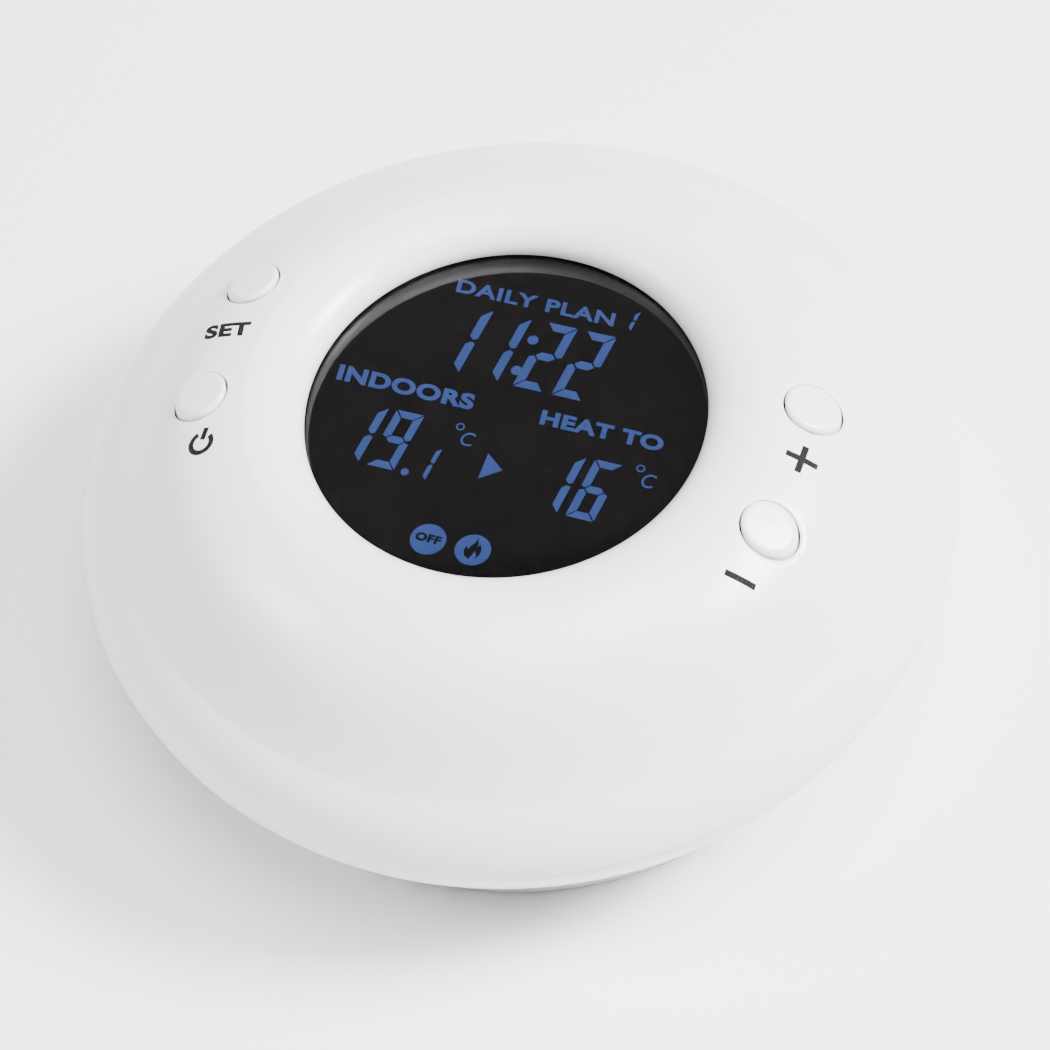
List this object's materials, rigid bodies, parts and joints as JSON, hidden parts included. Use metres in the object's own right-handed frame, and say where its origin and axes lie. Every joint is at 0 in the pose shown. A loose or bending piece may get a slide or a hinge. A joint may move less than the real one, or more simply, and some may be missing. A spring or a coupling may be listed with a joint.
{
  "type": "programmable room controller",
  "caption": "Round saucer-shaped room thermostat and timer with a recessed round backlit display, four push buttons, a vented foot ring and a sliding battery cover.",
  "frame": {"origin": "centre of the foot ring's flat underside", "axes": "+Z out of the display along the case's axis, +Y towards 12 o'clock, +X towards 3 o'clock"},
  "size_m": [0.12, 0.12, 0.0496],
  "materials": {
    "case_white": "satin moulded white plastic",
    "window_tint": "clear gloss window, near black over the unlit display",
    "display_glass": "polished glass",
    "display_frame": "plain moulded plastic",
    "clear_acrylic": "clear acrylic",
    "connector_rubber": "matt rubber",
    "board_laminate": "green lacquered glass-fibre board",
    "chip_plastic": "matt black moulded plastic",
    "screw_steel": "zinc plated steel",
    "contact_nickel": "nickel plated spring steel",
    "antenna_copper": "bare copper wire",
    "cell_wrap": "printed film over a steel can, no marks",
    "sensor_resin": "dipped resin"
  },
  "bodies": {
    "case": {"front_shell": "case_white", "rear_shell": "case_white", "display_window": "window_tint", "lcd_panel": "display_glass", "display_carrier": "display_frame", "light_guide": "clear_acrylic", "backlight_led_left": "clear_acrylic", "backlight_led_right": "clear_acrylic", "connector_strip_upper": "connector_rubber", "connector_strip_lower": "connector_rubber", "main_board": "board_laminate", "microcontroller": "chip_plastic", "radio_module": "contact_nickel", "antenna_coil": "antenna_copper", "timing_crystal": "screw_steel", "smoothing_capacitor": "chip_plastic", "temperature_sensor": "sensor_resin", "switch_plus": "chip_plastic", "switch_minus": "chip_plastic", "switch_set": "chip_plastic", "switch_power": "chip_plastic", "battery_cell_upper": "cell_wrap", "battery_cell_lower": "cell_wrap", "battery_spring_left": "contact_nickel", "battery_spring_right": "contact_nickel", "battery_terminal_upper": "contact_nickel", "battery_terminal_lower": "contact_nickel", "battery_bridge": "contact_nickel", "case_screw_1": "screw_steel", "case_screw_2": "screw_steel", "case_screw_3": "screw_steel", "case_screw_4": "screw_steel", "board_screw_1": "screw_steel", "board_screw_2": "screw_steel", "board_screw_3": "screw_steel", "board_screw_4": "screw_steel"},
    "plus_key": {"button_plus": "case_white", "switch_plunger_plus": "chip_plastic"},
    "minus_key": {"button_minus": "case_white", "switch_plunger_minus": "chip_plastic"},
    "set_key": {"button_set": "case_white", "switch_plunger_set": "chip_plastic"},
    "power_key": {"button_power": "case_white", "switch_plunger_power": "chip_plastic"},
    "door": {"battery_door": "case_white"}
  },
  "joints": [
    {"name": "plus_press", "type": "slide", "parent": "case", "child": "plus_key", "axis": [0, 0, -1], "range_m": [0, 0.0005], "stiffness_N_per_m": 2500, "springref_m": -0.0002},
    {"name": "minus_press", "type": "slide", "parent": "case", "child": "minus_key", "axis": [0, 0, -1], "range_m": [0, 0.0005], "stiffness_N_per_m": 2500, "springref_m": -0.0002},
    {"name": "set_press", "type": "slide", "parent": "case", "child": "set_key", "axis": [0, 0, -1], "range_m": [0, 0.0005], "stiffness_N_per_m": 2500, "springref_m": -0.0002},
    {"name": "power_press", "type": "slide", "parent": "case", "child": "power_key", "axis": [0, 0, -1], "range_m": [0, 0.0005], "stiffness_N_per_m": 2500, "springref_m": -0.0002},
    {"name": "door_slide", "type": "slide", "parent": "case", "child": "door", "axis": [0, -1, 0], "range_m": [0, 0.007]}
  ]
}
